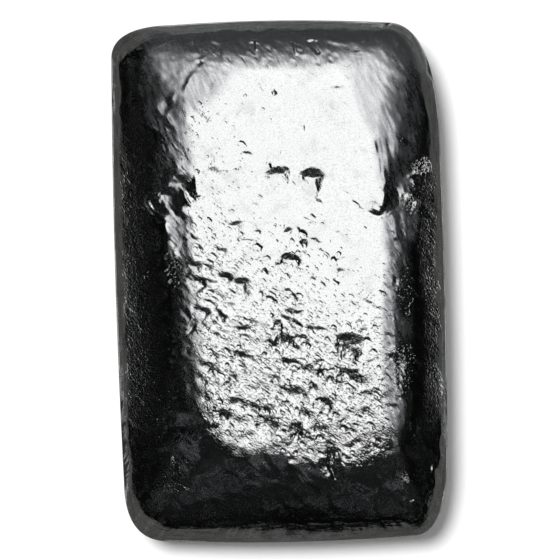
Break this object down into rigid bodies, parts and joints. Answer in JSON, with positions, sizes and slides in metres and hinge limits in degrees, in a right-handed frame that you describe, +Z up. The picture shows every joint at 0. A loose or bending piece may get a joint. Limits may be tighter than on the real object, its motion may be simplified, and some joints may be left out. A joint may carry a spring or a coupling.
{
  "type": "metal ingot",
  "caption": "Hand-poured rectangular silver ingot with rounded corners, drafted sides and a crowned, pitted top skin.",
  "frame": {"origin": "middle of the flat face the ingot rests on", "axes": "+Z up, away from the resting face; +Y along the length towards the head end; +X across the width"},
  "size_m": [0.0454, 0.072, 0.0108],
  "materials": {
    "silver": "poured, mirror-bright skin with fine pebbling and gas pits"
  },
  "bodies": {
    "root": {"ingot": "silver"}
  },
  "joints": []
}
